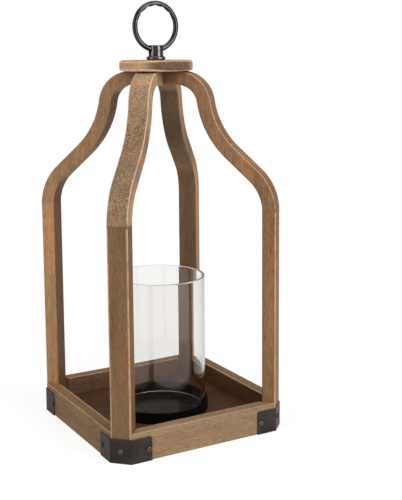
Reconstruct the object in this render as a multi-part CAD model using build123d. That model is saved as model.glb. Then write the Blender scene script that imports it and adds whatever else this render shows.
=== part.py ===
"""Hanging lantern: a square wooden tray, four ribs meeting under a round cap, a ring to hang it by,
and a glass cylinder standing in a metal candle pan. Each rib is a straight leg with a sawn, curved
bow dowelled on top. Millimetres, +Z up, origin at the centre of the base. The front faces -Y."""
from build123d import *
from math import cos, radians, sin, sqrt, tan
import os

# Overall
TOTAL_HEIGHT = 398.8          # base to the top of the ring
BASE_WIDTH = 177.8            # over the corner brackets, both ways

# Corner brackets, folded from sheet
SHEET = 0.9
BRACKET_HEIGHT = 22.0
FLANGE = 19.8                 # from the fold to the flange's end
BRACKET_CORNER_R = 2.0
FOLD_OUTER_R = 1.5
FOLD_INNER_R = 0.5
BRACKET_HOLE_R = 1.3

# Tray rails and floor panel
RAIL_HEIGHT = 27.0
RAIL_THICK = 11.0
RAIL_EDGE_R = 0.8
RAIL_TIP_R = 0.3              # the sharp upright edges at the rails' ends
PANEL_THICK = 5.0
PANEL_BOTTOM = 4.0
GROOVE_DEPTH = 4.0
PANEL_PLAY = 0.2              # between the panel's edge and the groove's bottom

# Ribs: legs and bows share one rounded-rectangle section
RIB_WIDTH = 19.05
RIB_THICK = 12.7
RIB_EDGE_R = 1.2
LEG_TOP = 208.0               # where the bow stands on the leg
ARM_TOP = 334.6               # top of the bows' level arms, where the cap rests
START_ANGLE = 2.0             # lean of the bow at its foot, from upright
SHOULDER_ANGLE = 47.0         # its steepest lean
NECK_ANGLE = 8.3              # lean where the neck turns into the arm
SHOULDER_R = 45.0             # centreline radii of the three bends
NECK_R = 80.0
BEND_R = 25.0
DOWEL_R = 2.5
DOWEL_DOWN = 12.0             # into the leg
DOWEL_UP = 8.0                # into the bow
ARM_SCREW_RADIUS = 19.0       # cap screws, from the lantern's axis

# Cap, collar flange and ring bolt
CAP_R = 34.0
CAP_THICK = 9.8
CAP_EDGE_R = 2.6
FLANGE_R = 8.75
FLANGE_THICK = 3.5
BARREL_TOP_R = 6.6
BARREL_BOTTOM_R = 6.8
BARREL_HEIGHT = 10.3
BARREL_EDGE_R = 0.5
SHANK_R = 2.5                 # M5
SHANK_HOLE_R = 2.7
SHANK_BELOW_NUT = 1.5
COUNTERBORE_R = 6.6           # hides the washer and nut in the crossing's underside
COUNTERBORE_DEPTH = 7.0
WASHER_R = 6.0
WASHER_THICK = 1.0
NUT_FLATS = 8.0
NUT_THICK = 4.0

# Ring
RING_OUTER_R = 23.6
RING_BAR_R = 2.4
RING_NOTCHES = 14             # notches of the inner side, if they went all the way round
RING_NOTCH_DEPTH = 1.5        # how far a notch's corner is cut into the bar
RING_SWELL_DEPTH = 0.05       # the same for the swell between two notches
HINGE_CLEARANCE = 0.05

# Screws
SCREW_HEAD_R = 2.3
SCREW_HEAD_HEIGHT = 1.3
SCREW_SHANK_R = 1.2
SCREW_LENGTH = 9.0            # under the head
SCREW_POINT = 2.5
RECESS_WIDTH = 0.7
RECESS_SPAN = 2.4
RECESS_DEPTH = 0.9
FLANGE_SCREW_IN = 3.3         # flange screw, back from the flange's end
CAP_SCREW_HEAD_R = 3.4
CAP_SCREW_SHANK_R = 1.75
CAP_SCREW_LENGTH = 19.0

# Candle pan and glass
REST_GAP = 0.1                # under a piece that stands loose
PAN_R = 46.0
PAN_HEIGHT = 11.0
PAN_WALL = 1.0
PAN_FOOT_R = 1.6
GLASS_R = 43.6
GLASS_WALL = 2.2
GLASS_TOP = 141.0
GLASS_RIM_R = 1.0

# Worked out from the above
RAIL_OUT = BASE_WIDTH / 2 - SHEET                          # rails' outer faces, from the centre
CORNER_CUT = RIB_WIDTH / sqrt(2)                           # the corner that the rib's foot fills
RIB_OUT = (2 * RAIL_OUT - CORNER_CUT) / sqrt(2)            # ribs' outer faces, along the diagonal
RIB_MID = RIB_OUT - RIB_THICK / 2
FLOOR_TOP = PANEL_BOTTOM + PANEL_THICK
CAP_TOP = ARM_TOP + CAP_THICK
BARREL_BOTTOM = CAP_TOP + FLANGE_THICK
CROSSING_BOTTOM = ARM_TOP - RIB_THICK
WASHER_TOP = CROSSING_BOTTOM + COUNTERBORE_DEPTH
NUT_BOTTOM = WASHER_TOP - WASHER_THICK - NUT_THICK
RING_MID_R = RING_OUTER_R - RING_BAR_R
RING_CENTRE_Z = TOTAL_HEIGHT - RING_OUTER_R
HINGE_Z = RING_CENTRE_Z - RING_MID_R                       # the ring tilts about this line, along X
SCREW_Z = BRACKET_HEIGHT / 2

CORNERS = {"front_left": 225, "front_right": 315, "back_right": 45, "back_left": 135}
RAILS = {"front_rail": 0, "right_rail": 90, "back_rail": 180, "left_rail": 270}


def turned(shape, degrees):
    """A copy of a shape, turned about the lantern's axis."""
    return shape.rotate(Axis.Z, degrees)


def prism(points, height, bottom=0.0):
    """An upright prism on a flat outline."""
    outline = make_face(Polyline(*points, close=True))
    return Pos(0, 0, bottom) * extrude(outline, height, dir=(0, 0, 1))


def screw_body(head, shank_r, length):
    """A screw that points along -Z, with its head's seat at the origin."""
    shank = Pos(0, 0, -length / 2 + SCREW_POINT / 2) * Cylinder(shank_r, length - SCREW_POINT)
    point = Pos(0, 0, -length + SCREW_POINT / 2) * Cone(0.2, shank_r, SCREW_POINT)
    return head + shank + point


def cross_recess(top):
    """The cross slot for a driver, cut down from height top."""
    slot = Box(RECESS_SPAN, RECESS_WIDTH, 2 * RECESS_DEPTH)
    return Pos(0, 0, top) * (slot + Rot(0, 0, 90) * slot)


def bracket_screw():
    """Pan-head wood screw."""
    head = Pos(0, 0, SCREW_HEAD_HEIGHT / 2) * Cylinder(SCREW_HEAD_R, SCREW_HEAD_HEIGHT)
    head = fillet(head.edges().group_by(Axis.Z)[-1], SCREW_HEAD_HEIGHT * 0.6)
    return screw_body(head - cross_recess(SCREW_HEAD_HEIGHT), SCREW_SHANK_R, SCREW_LENGTH)


def cap_screw():
    """Countersunk wood screw, pointing along -Z with its flat head's face at the origin."""
    depth = CAP_SCREW_HEAD_R - CAP_SCREW_SHANK_R
    head = Pos(0, 0, -depth / 2) * Cone(CAP_SCREW_SHANK_R, CAP_SCREW_HEAD_R, depth)
    return screw_body(head - cross_recess(0), CAP_SCREW_SHANK_R, CAP_SCREW_LENGTH)


def corner_screw_places():
    """The three screws of one bracket, in the corner's own frame: +X points out of the corner."""
    fold = Vector(RIB_OUT, RIB_WIDTH / 2, 0)
    outward = Vector(1, 1, 0) / sqrt(2)
    along = Vector(-1, 1, 0) / sqrt(2)
    seat = fold + along * (FLANGE - FLANGE_SCREW_IN) + outward * SHEET
    places = [Pos(RIB_OUT + SHEET, 0, SCREW_Z) * Rot(0, 90, 0)]
    places.append(Pos(seat.X, seat.Y, SCREW_Z) * Rot(0, 0, 45) * Rot(0, 90, 0))
    places.append(Pos(seat.X, -seat.Y, SCREW_Z) * Rot(0, 0, -45) * Rot(0, 90, 0))
    return places


def corner_screws():
    """The three bracket screws of each corner, as separate solids."""
    screw = bracket_screw()
    group = [place * screw for place in corner_screw_places()]
    return [turned(one, angle) for angle in CORNERS.values() for one in group]


def cap_screws():
    """One screw up through each rib's arm into the cap."""
    one = Pos(ARM_SCREW_RADIUS, 0, CROSSING_BOTTOM) * Rot(180, 0, 0) * cap_screw()
    return [turned(one, angle) for angle in CORNERS.values()]


def rail(screws):
    """One tray rail, front one first: ends cut at 45 degrees to meet the ribs' sides."""
    inner_y = -RAIL_OUT + RAIL_THICK
    outer_x = RAIL_OUT - CORNER_CUT
    inner_x = outer_x - RAIL_THICK
    outline = [(-outer_x, -RAIL_OUT), (outer_x, -RAIL_OUT), (inner_x, inner_y), (-inner_x, inner_y)]
    body = prism(outline, RAIL_HEIGHT)
    long_edges = body.edges().filter_by(Axis.X)
    body = fillet(long_edges, RAIL_EDGE_R)
    end_edges = body.edges().filter_by(Axis.Z).group_by(Axis.Y)[0]
    body = fillet(end_edges, RAIL_TIP_R)
    groove = Pos(0, inner_y, FLOOR_TOP - PANEL_THICK / 2) * Box(BASE_WIDTH, 2 * GROOVE_DEPTH, PANEL_THICK)
    body -= groove
    for screw in screws:
        body -= screw
    return body


def floor_panel():
    """Thin board in the rails' grooves, its corners cut off in front of the ribs' feet."""
    half = RAIL_OUT - RAIL_THICK + GROOVE_DEPTH - PANEL_PLAY
    reach = (RIB_OUT - RIB_THICK - PANEL_PLAY) * sqrt(2) - half
    quarter = [(half, -reach), (half, reach), (reach, half)]
    outline = [Vector(x, y, 0).rotate(Axis.Z, 90 * turn) for turn in range(4) for x, y in quarter[1:]]
    return prism(outline, PANEL_THICK, PANEL_BOTTOM)


def bow_path():
    """Centreline of the bow that leans in the XZ plane, from under its foot to the lantern's axis."""
    start, steep, neck_lean = radians(START_ANGLE), radians(SHOULDER_ANGLE), radians(NECK_ANGLE)
    arm_z = ARM_TOP - RIB_THICK / 2
    bends_rise = SHOULDER_R * (sin(steep) - sin(start)) + NECK_R * (sin(steep) - sin(neck_lean))
    bends_rise += BEND_R * (1 - sin(neck_lean))
    slope_length = (arm_z - LEG_TOP - bends_rise) / cos(steep)
    up = Vector(-sin(start), cos(start))
    foot = Line(Vector(RIB_MID, LEG_TOP) - up * RIB_THICK, Vector(RIB_MID, LEG_TOP))
    shoulder = JernArc(foot @ 1, foot % 1, SHOULDER_R, SHOULDER_ANGLE - START_ANGLE)
    slope = Line(shoulder @ 1, (shoulder @ 1) + (shoulder % 1) * slope_length)
    neck = JernArc(slope @ 1, slope % 1, NECK_R, NECK_ANGLE - SHOULDER_ANGLE)
    bend = JernArc(neck @ 1, neck % 1, BEND_R, 90 - NECK_ANGLE)
    arm = Line(bend @ 1, (0, arm_z))
    return Plane.XZ * Curve([foot, shoulder, slope, neck, bend, arm])


def dowel():
    """Wooden dowel that joins a bow to its leg."""
    length = DOWEL_DOWN + DOWEL_UP
    pin = Cylinder(DOWEL_R, length)
    pin = chamfer(pin.edges().filter_by(GeomType.CIRCLE), DOWEL_R / 5)
    return Pos(RIB_MID, 0, LEG_TOP - DOWEL_DOWN + length / 2) * pin


def leg(screw):
    """The straight leg that stands towards +X, its foot in the tray's corner."""
    section = RectangleRounded(RIB_THICK, RIB_WIDTH, RIB_EDGE_R)
    body = Pos(RIB_MID, 0, 0) * extrude(section, LEG_TOP)
    return body - dowel() - screw


def bow(screw):
    """The curved bow on that leg, its arm mitred to meet its three neighbours under the cap."""
    path = bow_path()
    start = Plane(origin=path @ 0, x_dir=(0, 1, 0), z_dir=path % 0)
    body = sweep(start * RectangleRounded(RIB_WIDTH, RIB_THICK, RIB_EDGE_R), path=path)
    reach = BASE_WIDTH
    body = body & prism([(0, 0), (reach, -reach), (reach, reach)], TOTAL_HEIGHT, LEG_TOP)
    body -= Pos(0, 0, ARM_TOP) * Cylinder(SHANK_HOLE_R, 4 * RIB_THICK)
    body -= Pos(0, 0, CROSSING_BOTTOM) * Cylinder(COUNTERBORE_R, 2 * COUNTERBORE_DEPTH)
    return body - dowel() - screw


def bracket():
    """Folded corner bracket in the corner's own frame: +X points out of the corner."""
    half = RIB_WIDTH / 2
    spread = SHEET * tan(radians(22.5))
    back = FLANGE / sqrt(2)
    lift = SHEET / sqrt(2)
    inner = [(RIB_OUT - back, half + back), (RIB_OUT, half), (RIB_OUT, -half), (RIB_OUT - back, -half - back)]
    outer = [
        (RIB_OUT - back + lift, -half - back - lift),
        (RIB_OUT + SHEET, -half - spread),
        (RIB_OUT + SHEET, half + spread),
        (RIB_OUT - back + lift, half + back + lift),
    ]
    plate = prism(inner + outer, BRACKET_HEIGHT)
    uprights = plate.edges().filter_by(Axis.Z).group_by(Axis.X)
    plate = fillet(uprights[-1], FOLD_OUTER_R)
    upright_edges = plate.edges().filter_by(Axis.Z)
    plate = fillet(upright_edges.filter_by(lambda edge: abs(edge.center().X - RIB_OUT) < 0.01), FOLD_INNER_R)
    ends = plate.edges().filter_by(lambda edge: abs(edge.length - SHEET) < 0.01)
    plate = fillet(ends.group_by(Axis.Z)[-1], BRACKET_CORNER_R)
    for place in corner_screw_places():
        plate -= place * Cylinder(BRACKET_HOLE_R, 6 * SHEET)
    return plate


def cap_disc(screws):
    """Round wooden cap over the crossing, edges well rounded, bored for the ring bolt."""
    body = Pos(0, 0, ARM_TOP + CAP_THICK / 2) * Cylinder(CAP_R, CAP_THICK)
    body = fillet(body.edges().filter_by(GeomType.CIRCLE), CAP_EDGE_R)
    body -= Pos(0, 0, ARM_TOP) * Cylinder(SHANK_HOLE_R, 4 * CAP_THICK)
    for screw in screws:
        body -= screw
    return body


def collar_flange():
    """Rounded collar between the cap and the ring bolt's barrel."""
    body = Pos(0, 0, CAP_TOP + FLANGE_THICK / 2) * Cylinder(FLANGE_R, FLANGE_THICK)
    body = fillet(body.edges().filter_by(GeomType.CIRCLE), FLANGE_THICK * 0.35)
    return body - Pos(0, 0, CAP_TOP) * Cylinder(SHANK_HOLE_R, 4 * FLANGE_THICK)


def ring_passage():
    """Flared cross hole: the space that the ring's bar sweeps as it tilts, and a running clearance."""
    reach = 2 * BARREL_BOTTOM_R
    bar_inner_r = RING_MID_R - RING_BAR_R - HINGE_CLEARANCE
    rise = RING_MID_R - sqrt(bar_inner_r**2 - reach**2)
    mouth = ThreePointArc((-reach, rise), (0, RING_MID_R - bar_inner_r), (reach, rise))
    outline = mouth + Polyline(mouth @ 1, (reach, 0), (-reach, 0), mouth @ 0)
    return Pos(0, 0, HINGE_Z) * revolve(make_face(outline), Axis.X)


def ring_bolt():
    """Turned barrel with the cross hole for the ring, and its threaded shank in one piece."""
    taper = Cone(BARREL_BOTTOM_R, BARREL_TOP_R, BARREL_HEIGHT)
    barrel = fillet(taper.edges().group_by(Axis.Z)[-1], BARREL_EDGE_R)
    barrel = Pos(0, 0, BARREL_BOTTOM + BARREL_HEIGHT / 2) * barrel
    shank_bottom = NUT_BOTTOM - SHANK_BELOW_NUT
    length = BARREL_BOTTOM - shank_bottom
    shank = Cylinder(SHANK_R, length)
    shank = chamfer(shank.edges().group_by(Axis.Z)[0], SHANK_R / 5)
    return barrel - ring_passage() + Pos(0, 0, shank_bottom + length / 2) * shank


def crossing_washer():
    """Washer at the top of the counterbore under the rib crossing."""
    ring = Cylinder(WASHER_R, WASHER_THICK) - Cylinder(SHANK_HOLE_R, 2 * WASHER_THICK)
    return Pos(0, 0, WASHER_TOP - WASHER_THICK / 2) * ring


def crossing_nut():
    """Hex nut on the ring bolt's shank."""
    hexagon = RegularPolygon(NUT_FLATS / 2, 6, major_radius=False)
    nut = extrude(hexagon, NUT_THICK) - Cylinder(SHANK_R, 4 * NUT_THICK)
    return Pos(0, 0, NUT_BOTTOM) * nut


def notched_core():
    """The space inside the ring's notched upper half, the lower half left out, about its centre."""
    inner_r = RING_MID_R - RING_BAR_R
    notch = Vector(0, inner_r + RING_NOTCH_DEPTH)
    swell = Vector(0, inner_r + RING_SWELL_DEPTH)
    step = 360 / RING_NOTCHES
    reach = RING_NOTCHES // 4
    corners = [notch.rotate(Axis.Z, index * step) for index in range(-reach, reach + 1)]
    middles = [swell.rotate(Axis.Z, (index + 0.5) * step) for index in range(-reach, reach)]
    outline = [ThreePointArc(*points) for points in zip(corners, middles, corners[1:])]
    outline.append(Polyline(corners[-1], (0, 0), corners[0]))
    return Plane.XZ * extrude(make_face(Curve(outline)), RING_OUTER_R, both=True)


def hanging_ring():
    """Round bar bent into a closed ring in the XZ plane, its upper inner side notched."""
    ring = Rot(90, 0, 0) * Torus(RING_MID_R, RING_BAR_R)
    return Pos(0, 0, RING_CENTRE_Z) * (ring - notched_core())


def candle_pan():
    """Shallow round pan of pressed metal, loose on the tray's floor."""
    body = Cylinder(PAN_R, PAN_HEIGHT)
    body = fillet(body.edges().group_by(Axis.Z)[0], PAN_FOOT_R)
    hollow = Pos(0, 0, PAN_WALL) * Cylinder(PAN_R - PAN_WALL, PAN_HEIGHT)
    hollow = fillet(hollow.edges().group_by(Axis.Z)[0], PAN_FOOT_R - PAN_WALL)
    body = body - hollow
    rim = body.edges().filter_by(GeomType.CIRCLE).group_by(Axis.Z)[-1]
    body = fillet(rim, PAN_WALL * 0.45)
    return Pos(0, 0, FLOOR_TOP + REST_GAP + PAN_HEIGHT / 2) * body


def glass_cylinder():
    """Tube of clear glass, open at both ends, rims melted round."""
    bottom = FLOOR_TOP + REST_GAP + PAN_WALL + REST_GAP
    height = GLASS_TOP - bottom
    tube = Cylinder(GLASS_R, height) - Cylinder(GLASS_R - GLASS_WALL, 2 * height)
    tube = fillet(tube.edges().filter_by(GeomType.CIRCLE), GLASS_RIM_R)
    return Pos(0, 0, bottom + height / 2) * tube


def build():
    """All the lantern's pieces, by name."""
    bracket_screws = corner_screws()
    cap_fixings = cap_screws()
    corner_group = [place * bracket_screw() for place in corner_screw_places()]
    cap_fixing = Pos(ARM_SCREW_RADIUS, 0, CROSSING_BOTTOM) * Rot(180, 0, 0) * cap_screw()
    one_leg = leg(corner_group[0])
    one_bow = bow(cap_fixing)
    one_bracket = bracket()
    front_screws = [screw for screw in bracket_screws if screw.center().Y < -RAIL_OUT + RAIL_THICK]
    one_rail = rail(front_screws)
    pieces = {name: turned(one_rail, angle) for name, angle in RAILS.items()}
    pieces["floor_panel"] = floor_panel()
    for corner, angle in CORNERS.items():
        pieces["leg_" + corner] = turned(one_leg, angle)
        pieces["bow_" + corner] = turned(one_bow, angle)
        pieces["bracket_" + corner] = turned(one_bracket, angle)
    pieces["bow_dowels"] = Compound(children=[turned(dowel(), angle) for angle in CORNERS.values()])
    pieces["bracket_screws"] = Compound(children=bracket_screws)
    pieces["cap_screws"] = Compound(children=cap_fixings)
    pieces["cap_disc"] = cap_disc(cap_fixings)
    pieces["collar_flange"] = collar_flange()
    pieces["ring_bolt"] = ring_bolt()
    pieces["crossing_washer"] = crossing_washer()
    pieces["crossing_nut"] = crossing_nut()
    pieces["hanging_ring"] = hanging_ring()
    pieces["candle_pan"] = candle_pan()
    pieces["glass_cylinder"] = glass_cylinder()
    return pieces


os.makedirs("parts", exist_ok=True)
for node, piece in build().items():
    export_step(piece, f"parts/{node}.step")
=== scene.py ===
"""Looks for the hanging lantern: stained wood, bronzed brackets, black nickel ring, black pan and
clear glass, on a pale floor in soft studio light. Metres, +Z up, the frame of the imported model."""
import math

import bpy
from mathutils import Matrix, Vector


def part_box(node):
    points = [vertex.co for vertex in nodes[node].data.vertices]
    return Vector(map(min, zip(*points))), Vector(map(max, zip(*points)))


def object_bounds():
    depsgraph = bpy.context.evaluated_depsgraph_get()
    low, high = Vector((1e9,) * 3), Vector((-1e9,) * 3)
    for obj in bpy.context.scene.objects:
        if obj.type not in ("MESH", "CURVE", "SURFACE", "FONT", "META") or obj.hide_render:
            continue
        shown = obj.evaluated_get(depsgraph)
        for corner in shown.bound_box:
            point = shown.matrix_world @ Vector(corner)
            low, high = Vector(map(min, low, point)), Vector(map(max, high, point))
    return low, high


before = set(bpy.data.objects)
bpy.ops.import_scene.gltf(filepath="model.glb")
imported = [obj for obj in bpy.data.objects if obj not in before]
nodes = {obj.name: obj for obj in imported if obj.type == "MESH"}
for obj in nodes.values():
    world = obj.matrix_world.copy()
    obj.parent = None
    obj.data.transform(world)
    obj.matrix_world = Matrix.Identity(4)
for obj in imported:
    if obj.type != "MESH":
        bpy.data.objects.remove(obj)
cad_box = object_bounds()

# Camera: where it stands, and how it is turned
CAMERA_PLACE = (-0.4314, -0.8301, 0.3590)
CAMERA_AZIMUTH = -29.97       # degrees; 0 looks along +Y
CAMERA_DOWN = 7.75            # degrees below level
CAMERA_ROLL = -0.43
CAMERA_LENS = 72.0            # mm, on a sensor whose long side is 36 mm
CAMERA_SHIFT = -0.14          # of the picture's long side; keeps the uprights nearly parallel

# Lights: name, degrees round from the camera and up, width and height in metres, watts
SOFTBOX_DISTANCE = 1.5
SOFTBOXES = (
    ("left_softbox", -58, 14, (0.9, 1.5), 9),
    ("right_softbox", 55, 18, (0.9, 1.5), 19),
    ("top_softbox", 0, 78, (1.3, 1.3), 12),
)
DOME_STRENGTH = 0.34
FLOOR_HALF = 6.0
FLOOR_NEAR, FLOOR_FAR = 150, 700          # mm from the axis, where the floor fades to plain white

# Degrees round from +X that each corner lies at
CORNERS = {"front_left": 225, "front_right": 315, "back_right": 45, "back_left": 135}
MM = 0.001


def srgb(red, green, blue):
    """A colour given as a screen shows it, 0 to 255, as the linear colour that a node takes."""
    def linear(value):
        value /= 255
        return value / 12.92 if value <= 0.04045 else ((value + 0.055) / 1.055) ** 2.4
    return (linear(red), linear(green), linear(blue), 1.0)


class Look:
    """A new material's node tree, with short calls for the nodes used here."""

    def __init__(self, name):
        self.material = bpy.data.materials.new(name)
        self.material.use_nodes = True
        self.tree = self.material.node_tree
        self.surface = self.tree.nodes["Principled BSDF"]
        self.output = self.tree.nodes["Material Output"]

    def node(self, kind, inputs=(), **settings):
        """A node of this kind, with its settings made and its inputs given as (name, value) pairs."""
        made = self.tree.nodes.new(kind)
        for key, value in settings.items():
            setattr(made, key, value)
        for key, value in inputs:
            self.put(made.inputs[key], value)
        return made

    def put(self, socket, value):
        """Links an output to this socket, or sets the socket to a plain value."""
        if isinstance(value, bpy.types.NodeSocket):
            self.tree.links.new(value, socket)
        else:
            socket.default_value = value

    def set(self, **inputs):
        """Inputs of the Principled node, by name with _ for a space."""
        for key, value in inputs.items():
            self.put(self.surface.inputs[key.replace("_", " ")], value)

    def math(self, operation, *values):
        """One Math node."""
        return self.node("ShaderNodeMath", list(enumerate(values)), operation=operation).outputs[0]

    def vector(self, operation, *values):
        """One Vector Math node."""
        made = self.node("ShaderNodeVectorMath", list(enumerate(values)), operation=operation)
        return made.outputs["Value" if operation in ("DOT_PRODUCT", "LENGTH") else "Vector"]

    def ramp(self, value, low, high, to_low=0.0, to_high=1.0):
        """A smooth step of value from low to high, clamped."""
        pairs = [("Value", value), ("From Min", low), ("From Max", high)]
        pairs += [("To Min", to_low), ("To Max", to_high)]
        return self.node("ShaderNodeMapRange", pairs, interpolation_type="SMOOTHSTEP").outputs[0]

    def mix(self, share, first, second, blend="MIX"):
        """Two colours mixed by share."""
        made = self.node("ShaderNodeMix", data_type="RGBA", blend_type=blend)
        for socket, value in zip((made.inputs[0], made.inputs[6], made.inputs[7]), (share, first, second)):
            self.put(socket, value)
        return made.outputs[2]

    def place(self, turn=(0, 0, 0), shift=(0, 0, 0)):
        """Where a point of the object is, in millimetres, turned and then shifted."""
        spot = self.node("ShaderNodeTexCoord").outputs["Object"]
        turned = [("Vector", spot), ("Scale", (1 / MM,) * 3), ("Rotation", turn), ("Location", shift)]
        return self.node("ShaderNodeMapping", turned).outputs[0]

    def noise(self, spot, sizes, detail=2.0, roughness=0.5):
        """Noise from 0 to 1 with features of these sizes along X, Y and Z, in millimetres."""
        scaled = self.vector("MULTIPLY", spot, tuple(1 / size for size in sizes))
        pairs = [("Vector", scaled), ("Scale", 1.0), ("Detail", detail), ("Roughness", roughness)]
        return self.node("ShaderNodeTexNoise", pairs).outputs["Fac"]

    def own_normal(self):
        """The surface's direction in the object's own axes."""
        return self.node("ShaderNodeTexCoord").outputs["Normal"]

    def edges(self, radius, low, high):
        """1 on outer edges that a bevel of this radius would round, 0 on flat ground."""
        bevel = self.node("ShaderNodeBevel", [("Radius", radius)], samples=6).outputs[0]
        plain = self.node("ShaderNodeNewGeometry").outputs["Normal"]
        return self.ramp(self.vector("DOT_PRODUCT", bevel, plain), high, low)

    def recess(self, reach, samples, open_air, closed_in):
        """0 where the surroundings, this near, are open and 1 where they close in."""
        around = self.node("ShaderNodeAmbientOcclusion", [("Distance", reach)], samples=samples)
        return self.ramp(around.outputs["AO"], open_air, closed_in)

    def bump(self, height, distance):
        """A bumped normal, for a height from 0 to 1 over this many metres."""
        return self.node("ShaderNodeBump", [("Height", height), ("Distance", distance)]).outputs[0]


# Wood: which way each piece's grain runs
ALONG_Z = (0, 0, 0)
ALONG_X = (0, math.radians(-90), 0)
ALONG_Y = (math.radians(90), 0, 0)
BOARD_STEP = (61.0, 37.0, 113.0)          # mm between two boards' places in the log

# Sizes of the wood's features across and along the grain, in millimetres
WANDER = (13, 15, 130)                    # broad light and dark zones
STREAKS = (1.6, 2.0, 34)
FIBRES = (0.6, 0.6, 7)
HUE_ZONES = (16, 18, 90)
PORES = (1.1, 1.1, 5.5)                   # short flecks on the planed sides
GRIT = (1.3, 1.3, 1.7)                    # specks on the sawn sides
GRIT_ZONES = (9, 9, 30)
CHAFES = (5, 5, 9)                        # along worn edges

RED_STAIN = (1.14, 0.96, 0.86, 1)         # multiply the stain, so that boards vary in hue
OLIVE_STAIN = (0.88, 0.95, 0.94, 1)
CORNER_SHADE_TINT = (0.30, 0.25, 0.21, 1)             # painted shade: multiplies the stain in inner corners
CORNER_SHADE_REACH = 24 * MM
DARK_BAND_TINT = (0.66, 0.65, 0.64, 1)
ARRIS = 1.5                               # mm of a flat side that its rubbed edge takes
FACING = (0.6, 0.9)                       # a side counts as facing a direction above these


def times(colour, *factors):
    """A linear colour with its red, green and blue multiplied; one factor serves for all three."""
    shares = factors if len(factors) == 3 else factors * 3
    return tuple(part * share for part, share in zip(colour, shares)) + (1,)


def figure(look, spot, stain, patchy):
    """The board's colour from its grain, with the streaks and fibres that make it up."""
    wander = look.noise(spot, WANDER, detail=3)
    streaks = look.noise(spot, STREAKS, detail=4, roughness=0.6)
    fibres = look.noise(spot, FIBRES, detail=3, roughness=0.65)
    rings = look.node("ShaderNodeSeparateXYZ", [("Vector", spot)]).outputs["X"]
    rings = look.math("ADD", look.math("MULTIPLY", rings, 0.3), look.math("MULTIPLY", wander, 7.0))
    rings = look.ramp(look.math("PINGPONG", rings, 1.0), 0.7, 1.0)
    value = look.math("MULTIPLY", wander, 1.05)
    value = look.math("ADD", value, look.math("MULTIPLY", streaks, 0.6))
    value = look.math("ADD", value, look.math("MULTIPLY", fibres, 0.7))
    value = look.math("SUBTRACT", value, look.math("MULTIPLY", rings, 0.10))
    value = look.math("SUBTRACT", value, 0.62)
    colour = look.mix(value, times(stain, 0.52, 0.49, 0.45), times(stain, 1.48, 1.51, 1.55))
    hue = look.noise(spot, HUE_ZONES, detail=2)
    colour = look.mix(look.ramp(hue, 0.5, 0.68, 0, patchy), colour, RED_STAIN, "MULTIPLY")
    colour = look.mix(look.ramp(hue, 0.5, 0.32, 0, patchy), colour, OLIVE_STAIN, "MULTIPLY")
    return colour, streaks, fibres


def sawn_share(look, spot, grain, speckle):
    """1 where end grain or a sawn side shows open pores, 0 on planed sides."""
    normal = look.own_normal()
    turned = look.node("ShaderNodeMapping", [("Vector", normal), ("Rotation", grain)]).outputs[0]
    along = look.math("ABSOLUTE", look.node("ShaderNodeSeparateXYZ", [("Vector", turned)]).outputs["Z"])
    sawn = look.ramp(along, 0.6, 0.95)
    if speckle:
        direction, share = speckle
        side = look.ramp(look.vector("DOT_PRODUCT", normal, direction), 0.35, 0.8, 0, share)
        across_grain = look.ramp(along, 0.06, 0.42, 0.15, 1)
        sawn = look.math("MAXIMUM", sawn, look.math("MULTIPLY", side, across_grain))
    zones = look.noise(spot, GRIT_ZONES, detail=2)
    return look.math("MULTIPLY", sawn, look.ramp(zones, 0.34, 0.56, 0.5, 1))


def flecked(look, spot, stain, colour, sawn):
    """The colour with flecks and specks on it, with how much of a pore and of a dark speck is where."""
    pores = look.noise(spot, PORES, detail=2, roughness=0.6)
    pore_share = look.ramp(pores, 0.55, 0.67)
    colour = look.mix(look.math("MULTIPLY", pore_share, 0.5), colour, times(stain, 0.34))
    colour = look.mix(look.ramp(pores, 0.44, 0.34, 0, 0.3), colour, times(stain, 1.75, 1.8, 1.9))
    grit = look.noise(spot, GRIT, detail=5, roughness=0.85)
    dark_grit = look.math("MULTIPLY", look.ramp(grit, 0.47, 0.40), sawn)
    pale_grit = look.math("MULTIPLY", look.ramp(grit, 0.54, 0.61), sawn)
    colour = look.mix(look.math("MULTIPLY", dark_grit, 0.95), colour, times(stain, 0.3))
    colour = look.mix(look.math("MULTIPLY", pale_grit, 0.85), colour, times(stain, 2.1, 2.2, 2.35))
    return colour, pore_share, dark_grit


def darker_band(look, height, streaks, band, colour):
    """The colour, darker between two heights in millimetres, with an uneven start and end."""
    low, high = band
    level = look.math("ADD", height, look.math("MULTIPLY", streaks, 24))
    inside = look.math("MULTIPLY", look.ramp(level, low, low + 20), look.ramp(level, high + 44, high))
    return look.mix(inside, colour, DARK_BAND_TINT, "MULTIPLY")


def worn_share(look, height, across, worn_side, wear, seam, arris):
    """How much of the finish is rubbed off; wood() says what the arguments are."""
    normal = look.own_normal()
    chafe = look.noise(look.place(), CHAFES, detail=5, roughness=0.65)
    lean = look.math("ABSOLUTE", look.vector("DOT_PRODUCT", normal, across))
    outward_lean = look.vector("DOT_PRODUCT", normal, worn_side)
    pale_edge = look.math("MULTIPLY", look.ramp(lean, 0.1, 0.35), look.ramp(lean, 0.985, 0.9))
    pale_edge = look.math("MULTIPLY", pale_edge, look.ramp(outward_lean, 0.05, 0.25))
    if arris:
        direction, distance = arris
        reach = look.math("ABSOLUTE", look.vector("DOT_PRODUCT", look.place(), direction))
        inset = look.math("ABSOLUTE", look.math("SUBTRACT", reach, distance))
        rubbed = look.math("MULTIPLY", look.ramp(inset, ARRIS + 0.3, ARRIS - 0.3),
                           look.ramp(outward_lean, *FACING))
        pale_edge = look.math("MAXIMUM", pale_edge, rubbed)
    pale_edge = look.math("MULTIPLY", pale_edge, look.ramp(chafe, 0.38, 0.56, 0.55 * wear, wear))
    if seam:
        off = look.math("ABSOLUTE", look.math("SUBTRACT", height, seam))
        pale_edge = look.math("MULTIPLY", pale_edge, look.ramp(off, 1.2, 2.4))
    return pale_edge


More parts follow.
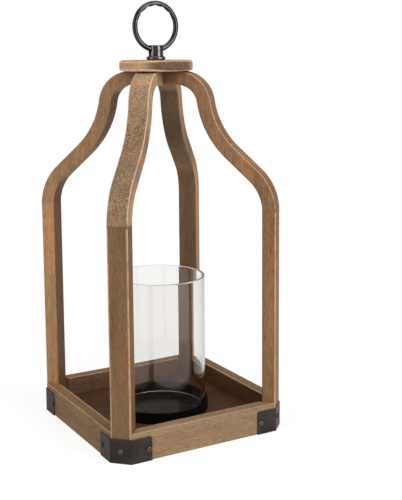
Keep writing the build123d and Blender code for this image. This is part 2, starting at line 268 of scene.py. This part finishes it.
def wood(name, grain, board, stain, across, worn_side, wear=1.0, faces=(), speckle=None, seam=None,
         arris=None, corner_shade=0.0, patchy=0.5, band=None):
    """Stained wood, lightly rubbed, of one mean colour, with its grain along one axis. board is a number
    that says where in the log the piece was cut. The piece's long edges are rounded between sides that
    face across and sides that don't; the finish is rubbed off those that look towards worn_side. faces
    are (direction, share, tint): sides that are tinted lighter or darker; on the ribs' inner and outer
    faces and the rails' inner faces the tint is painted shade. speckle is (direction, share) for a sawn
    side that shows open, filled pores. seam is a height that a glued joint keeps free of wear. arris is
    (direction, distance): sides this far out whose edges are rubbed on the flat too. corner_shade is how
    dark the painted shade in inner corners is, and patchy how much the hue wanders. band is (low, high),
    the heights between which the board is darker."""
    look = Look(name)
    height = look.node("ShaderNodeSeparateXYZ", [("Vector", look.place())]).outputs["Z"]
    spot = look.place(grain, tuple(step * board for step in BOARD_STEP))
    colour, streaks, fibres = figure(look, spot, stain, patchy)
    sawn = sawn_share(look, spot, grain, speckle)
    colour, pore_share, dark_grit = flecked(look, spot, stain, colour, sawn)
    if band:
        colour = darker_band(look, height, streaks, band, colour)
    # on the ribs' inner and outer faces and the rails' inner faces these tints are painted shade
    for direction, share, tint in faces:
        side = look.ramp(look.vector("DOT_PRODUCT", look.own_normal(), direction), *FACING, 0, share)
        colour = look.mix(side, colour, tint, "MULTIPLY")
    pale_edge = worn_share(look, height, across, worn_side, wear, seam, arris)
    colour = look.mix(pale_edge, colour, times(stain, 2.3, 2.7, 3.7))
    # painted shade: darker stain where the surroundings close in, under the cap and where the arms meet
    if corner_shade:
        corner = look.recess(CORNER_SHADE_REACH, 6, 0.85, 0.35)
        colour = look.mix(look.math("MULTIPLY", corner, corner_shade), colour, CORNER_SHADE_TINT, "MULTIPLY")

    rough = look.math("ADD", look.math("MULTIPLY", fibres, 0.22), 0.44)
    relief = look.math("SUBTRACT", fibres, look.math("MULTIPLY", pore_share, 0.7))
    relief = look.math("SUBTRACT", relief, look.math("MULTIPLY", dark_grit, 1.2))
    look.set(Base_Color=colour, Roughness=rough, Specular_IOR_Level=0.3)
    look.set(Normal=look.bump(relief, 0.13 * MM))
    return look.material


def bronzed():
    """Folded sheet with a dark bronze finish, rubbed lighter along its edges."""
    look = Look("dark_bronze")
    spot = look.place()
    cloud = look.noise(spot, (14, 14, 14), detail=4)
    grit = look.noise(spot, (0.6, 0.6, 0.6), detail=3)
    colour = look.mix(look.ramp(cloud, 0.35, 0.65), srgb(34, 25, 22), srgb(49, 39, 35))
    colour = look.mix(look.ramp(grit, 0.6, 0.75, 0, 0.3), colour, srgb(88, 78, 72))
    pale_edge = look.math("MULTIPLY", look.edges(0.6 * MM, 0.7, 0.97), look.ramp(cloud, 0.3, 0.6, 0.3, 0.8))
    colour = look.mix(pale_edge, colour, srgb(128, 116, 106))
    rough = look.ramp(cloud, 0.3, 0.7, 0.34, 0.5)
    look.set(Base_Color=colour, Metallic=0.45, Roughness=rough, Normal=look.bump(grit, 0.03 * MM))
    return look.material


def screw_steel(name, dark, light, rough):
    """A small screw's or nut's metal, with the marks of the driver on it, a painted highlight round the
    head's rim and painted shade in its recess.
    """
    look = Look(name)
    marks = look.noise(look.place(), (0.5, 0.5, 0.5), detail=3)
    colour = look.mix(look.ramp(marks, 0.35, 0.7), dark, light)
    # painted highlight: a pale ring on the head's rounded rim
    pale_edge = look.edges(0.6 * MM, 0.6, 0.96)
    colour = look.mix(look.math("MULTIPLY", pale_edge, 0.8), colour, srgb(216, 200, 188))
    # painted shade: near black in the driver's recess and other hollows
    colour = look.mix(look.recess(1.2 * MM, 8, 0.85, 0.6), colour, srgb(10, 8, 7))
    look.set(Base_Color=colour, Metallic=0.9, Roughness=look.ramp(marks, 0.3, 0.7, rough, rough + 0.15))
    look.set(Normal=look.bump(marks, 0.02 * MM))
    return look.material


def black_nickel(name, dark, light):
    """Glossy dark plating with faint polishing lines and handling marks."""
    look = Look(name)
    spot = look.place()
    haze = look.noise(spot, (7, 7, 7), detail=4)
    fine = look.noise(spot, (0.25, 0.25, 1.6), detail=2)
    colour = look.mix(look.ramp(haze, 0.35, 0.7), dark, light)
    look.set(Base_Color=colour, Metallic=1.0, Roughness=look.ramp(haze, 0.3, 0.7, 0.12, 0.22))
    look.set(Normal=look.bump(fine, 0.006 * MM))
    return look.material


def black_enamel():
    """Black paint on pressed metal: satin outside, glossy on the pan's floor."""
    look = Look("black_enamel")
    spot = look.place()
    axes = look.node("ShaderNodeSeparateXYZ", [("Vector", spot)])
    level = [(axis, axes.outputs[axis]) for axis in "XY"]
    flat = look.node("ShaderNodeCombineXYZ", level).outputs[0]
    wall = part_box("candle_pan")[1].x / MM
    inside = look.ramp(look.vector("LENGTH", flat), wall - 0.5, wall - 1.5)
    haze = look.noise(spot, (9, 9, 9), detail=4)
    peel = look.noise(spot, (1.6, 1.6, 1.6), detail=2)
    cloud = look.ramp(haze, 0.3, 0.7)
    outer_colour = look.mix(cloud, srgb(4, 4, 4), srgb(9, 8, 8))
    colour = look.mix(inside, outer_colour, look.mix(cloud, srgb(22, 20, 18), srgb(30, 27, 25)))
    rough_out = look.ramp(haze, 0.3, 0.7, 0.42, 0.55)
    rough_in = look.ramp(haze, 0.3, 0.7, 0.10, 0.2)
    change = look.math("MULTIPLY", inside, look.math("SUBTRACT", rough_in, rough_out))
    rough = look.math("ADD", rough_out, change)
    look.set(Base_Color=colour, Roughness=rough, Normal=look.bump(peel, 0.01 * MM), Specular_IOR_Level=0.12)
    return look.material


def clear_glass():
    """Thin clear glass. Light from lamps passes straight through it."""
    look = Look("clear_glass")
    ripple = look.noise(look.place(), (22, 22, 60), detail=1)
    upward = look.node("ShaderNodeSeparateXYZ", [("Vector", look.own_normal())]).outputs["Z"]
    rim = look.ramp(look.math("ABSOLUTE", upward), 0.25, 0.75)
    tint = look.mix(rim, (0.926, 0.914, 0.897, 1), (0.86, 0.88, 0.88, 1))
    look.set(Base_Color=tint, IOR=1.45, Roughness=look.math("MULTIPLY", rim, 0.2))
    look.set(Transmission_Weight=look.math("SUBTRACT", 1.0, look.math("MULTIPLY", rim, 0.3)))
    look.set(Normal=look.bump(ripple, 0.05 * MM))
    through = look.node("ShaderNodeBsdfTransparent", [("Color", (0.96, 0.97, 0.97, 1))])
    rays = look.node("ShaderNodeLightPath")
    choice = look.node("ShaderNodeMixShader")
    look.put(choice.inputs[0], rays.outputs["Is Shadow Ray"])
    look.put(choice.inputs[1], look.surface.outputs[0])
    look.put(choice.inputs[2], through.outputs[0])
    look.put(look.output.inputs["Surface"], choice.outputs[0])
    return look.material


def paint(names, material):
    """Gives CAD nodes their material."""
    for name in names:
        slots = nodes[name].data.materials
        slots.clear()
        slots.append(material)


def outward(angle):
    """The level direction at this many degrees from +X."""
    return Vector((math.cos(math.radians(angle)), math.sin(math.radians(angle)), 0))


# The mean colour of each rib's board, and of its bow: the lantern's maker mixed light and dark boards
RIB_STAINS = {
    "front_left": (srgb(124, 93, 61), srgb(154, 125, 94)),
    "front_right": (srgb(132, 95, 63), srgb(134, 98, 67)),
    "back_right": (srgb(146, 112, 80), srgb(144, 112, 80)),
    "back_left": (srgb(156, 116, 79), srgb(146, 109, 76)),
}
RAIL_STAINS = {
    "front": srgb(136, 108, 79),
    "right": srgb(120, 92, 63),
    "back": srgb(124, 93, 65),
    "left": srgb(122, 92, 59),
}
RAIL_WEAR = {"front": 0.2, "right": 0.9, "back": 0.6, "left": 1.0}
DARK_BANDS = {"front_left": (236, 276), "back_right": (236, 272)}      # heights in mm between which the bows are darker
# Tints that multiply the stain on some faces; on the ribs' inner and outer faces and the rails' inner faces
# they are painted shade
SHADED = (0.42, 0.30, 0.21, 1)            # painted shade on the rails' inner faces, darker and redder
INNER_FACE_SHADE = (0.45, 0.43, 0.41, 1)       # painted shade on the ribs' inner faces
DARKER_INNER_SHADE = (0.33, 0.30, 0.26, 1)      # stronger painted shade on the back left rib's inner faces
DARK_SIDE = (0.66, 0.64, 0.58, 1)         # one side of the front left leg
# painted shade on the legs' outer faces
LEG_OUTER_SHADE = (0.86, 0.85, 0.84, 1)
# painted shade on the bows' outer faces
BOW_OUTER_SHADE = (0.82, 0.80, 0.77, 1)
CAP_ENDS = (0.28, 0.25, 0.22, 1)          # the cap's end grain
# Directions
UPWARD = (0, 0, 1)
CAP_WORN_SIDE = (-0.6, 0.3, -0.5)
CAP_SPECKLE = ((0.4, -1, 0), 1.0)


def paint_ribs():
    """Legs and bows. Painted shade makes the legs' and bows' outer faces darker than their sides and
    darkens their inner faces and the bows' inner corners; a bow's outer face is sawn.
    """
    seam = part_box("leg_front_left")[1].z / MM
    for board, (corner, angle) in enumerate(CORNERS.items()):
        upright = (0, 0, math.radians(-angle))
        out, back, across = outward(angle), outward(angle + 180), outward(angle + 90)
        leg_stain, bow_stain = RIB_STAINS[corner]
        # painted shade on the legs' and bows' inner and outer faces
        inner = DARKER_INNER_SHADE if corner == "back_left" else INNER_FACE_SHADE
        leg_faces = [(out, 1.0, LEG_OUTER_SHADE), (back, 1.0, inner)]
        if corner == "front_left":
            leg_faces.append((across, 1.0, DARK_SIDE))
        bow_faces = [(out, 1.0, BOW_OUTER_SHADE), (back, 1.0, inner)]
        outside = (out[0], out[1], 1)
        half_width = max(vertex.co.dot(across) for vertex in nodes[f"leg_{corner}"].data.vertices) / MM
        arris = (across, half_width)
        leg_wood = wood(f"leg_wood_{corner}", upright, board + 1, leg_stain, across, outside, 0.9,
                        leg_faces, (out, 0.3), seam, arris, patchy=1.0)
        # corner_shade puts painted shade in the bows' inner corners
        bow_wood = wood(f"bow_wood_{corner}", upright, board + 1, bow_stain, across, outside, 0.5,
                        bow_faces, (out, 1.0), seam, corner_shade=0.85, patchy=1.0, band=DARK_BANDS.get(corner))
        paint([f"leg_{corner}"], leg_wood)
        paint([f"bow_{corner}"], bow_wood)


def paint_all():
    """Every CAD node's finish."""
    paint_ribs()
    inward = {"front": (0, 1, 0), "right": (-1, 0, 0), "back": (0, -1, 0), "left": (1, 0, 0)}
    for board, (side, direction) in enumerate(inward.items()):
        grain = ALONG_X if side in ("front", "back") else ALONG_Y
        # painted shade on the rail's inner face
        faces = [(direction, 0.7 if side == "back" else 1.0, SHADED)]
        inner = min(abs(Vector(direction).dot(corner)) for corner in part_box(f"{side}_rail")) / MM
        rail_wood = wood(f"rail_wood_{side}", grain, board + 11, RAIL_STAINS[side], UPWARD, UPWARD,
                         RAIL_WEAR[side], faces, arris=(direction, inner))
        paint([f"{side}_rail"], rail_wood)
    paint(["floor_panel"], wood("floor_wood", ALONG_X, 16, srgb(76, 48, 25), UPWARD, UPWARD, 0.0))
    cap_ends = [((0, end, 0), 1.0, CAP_ENDS) for end in (-1, 1)]
    cap_wood = wood("cap_wood", ALONG_Y, 17, srgb(176, 140, 106), UPWARD, CAP_WORN_SIDE, 0.6, cap_ends,
                    CAP_SPECKLE, patchy=1.0)
    paint(["cap_disc"], cap_wood)
    paint(["bow_dowels"], wood("dowel_wood", ALONG_Z, 18, srgb(160, 125, 90), UPWARD, UPWARD, 0.0))
    paint([f"bracket_{corner}" for corner in CORNERS], bronzed())
    paint(["bracket_screws"], screw_steel("black_screw", srgb(84, 70, 62), srgb(120, 104, 94), 0.32))
    zinc = screw_steel("zinc_steel", srgb(168, 168, 166), srgb(196, 196, 194), 0.3)
    paint(["cap_screws", "crossing_washer", "crossing_nut"], zinc)
    bolt_nickel = black_nickel("bolt_nickel", srgb(86, 80, 81), srgb(108, 102, 101))
    paint(["collar_flange", "ring_bolt"], bolt_nickel)
    # the ring has the bolt's plating made darker: painted shade
    paint(["hanging_ring"], black_nickel("ring_nickel_shaded", srgb(57, 52, 54), srgb(76, 71, 72)))
    paint(["candle_pan"], black_enamel())
    paint(["glass_cylinder"], clear_glass())


def camera():
    """The camera, at the chosen angle."""
    data = bpy.data.cameras.new("camera")
    data.lens = CAMERA_LENS
    data.sensor_width = 36.0
    data.shift_y = CAMERA_SHIFT
    data.clip_start = 0.05
    made = bpy.data.objects.new("camera", data)
    turn = Matrix.Rotation(math.radians(CAMERA_AZIMUTH), 4, "Z")
    turn @= Matrix.Rotation(math.radians(90 - CAMERA_DOWN), 4, "X")
    turn @= Matrix.Rotation(math.radians(CAMERA_ROLL), 4, "Z")
    made.matrix_world = Matrix.Translation(CAMERA_PLACE) @ turn
    bpy.context.scene.collection.objects.link(made)
    bpy.context.scene.camera = made


def softbox(name, azimuth, elevation, size, power):
    """A rectangular studio light that points at the lantern's middle."""
    data = bpy.data.lights.new(name, "AREA")
    data.shape = "RECTANGLE"
    data.size, data.size_y = size
    data.energy = power
    made = bpy.data.objects.new(name, data)
    around, up = math.radians(azimuth), math.radians(elevation)
    back = Vector((math.sin(around) * math.cos(up), -math.cos(around) * math.cos(up), math.sin(up)))
    middle = (cad_box[0] + cad_box[1]) / 2
    made.location = middle + back * SOFTBOX_DISTANCE
    made.rotation_mode = "QUATERNION"
    made.rotation_quaternion = back.to_track_quat("Z", "Y")
    made.visible_camera = False
    made.visible_transmission = False
    bpy.context.scene.collection.objects.link(made)


def seen_directly(tree):
    """1 for what the camera sees, straight or through glass, and 0 for what only lights the lantern."""
    rays = tree.nodes.new("ShaderNodeLightPath")

    def combine(operation, first, second):
        made = tree.nodes.new("ShaderNodeMath")
        made.operation = operation
        made.use_clamp = True
        for socket, value in zip(made.inputs, (first, second)):
            if isinstance(value, bpy.types.NodeSocket):
                tree.links.new(value, socket)
            else:
                socket.default_value = value
        return made.outputs[0]

    bounces = combine("ADD", rays.outputs["Diffuse Depth"], rays.outputs["Glossy Depth"])
    through = combine("SUBTRACT", rays.outputs["Is Transmission Ray"], bounces)
    return combine("MAXIMUM", rays.outputs["Is Camera Ray"], through)


def studio():
    """White surroundings to look at, a dimmer dome to light with, and softboxes at both sides and above."""
    world = bpy.data.worlds.new("studio")
    bpy.context.scene.world = world
    world.use_nodes = True
    tree = world.node_tree
    dome = tree.nodes["Background"]
    dome.inputs["Color"].default_value = (1.0, 0.99, 0.98, 1)
    dome.inputs["Strength"].default_value = DOME_STRENGTH
    white = tree.nodes.new("ShaderNodeBackground")
    white.inputs["Color"].default_value = (1, 1, 1, 1)
    choice = tree.nodes.new("ShaderNodeMixShader")
    tree.links.new(seen_directly(tree), choice.inputs[0])
    tree.links.new(dome.outputs[0], choice.inputs[1])
    tree.links.new(white.outputs[0], choice.inputs[2])
    tree.links.new(choice.outputs[0], tree.nodes["World Output"].inputs["Surface"])
    for name, around, elevation, size, power in SOFTBOXES:
        softbox(name, CAMERA_AZIMUTH + around, elevation, size, power)


def floor():
    """A plain white floor that fades into the surroundings."""
    mesh = bpy.data.meshes.new("floor")
    square = [(-1, -1), (1, -1), (1, 1), (-1, 1)]
    corners = [(x * FLOOR_HALF, y * FLOOR_HALF, 0) for x, y in square]
    mesh.from_pydata(corners, [], [range(4)])
    made = bpy.data.objects.new("floor", mesh)
    bpy.context.scene.collection.objects.link(made)
    look = Look("floor_white")
    look.set(Base_Color=(0.8, 0.8, 0.8, 1), Roughness=0.9, Specular_IOR_Level=0.1)
    spread = look.vector("LENGTH", look.place())
    strength = look.ramp(spread, FLOOR_NEAR, FLOOR_FAR, 1.1, 1.0)
    glow = look.node("ShaderNodeEmission", [("Color", (1, 1, 1, 1)), ("Strength", strength)])
    whiteness = look.ramp(spread, FLOOR_NEAR, FLOOR_FAR, 0.75, 1.0)
    share = look.math("MULTIPLY", seen_directly(look.tree), whiteness)
    choice = look.node("ShaderNodeMixShader")
    look.put(choice.inputs[0], share)
    look.put(choice.inputs[1], look.surface.outputs[0])
    look.put(choice.inputs[2], glow.outputs[0])
    look.put(look.output.inputs["Surface"], choice.outputs[0])
    mesh.materials.append(look.material)


bpy.context.scene.view_settings.view_transform = "Standard"
camera()
studio()
floor()
paint_all()
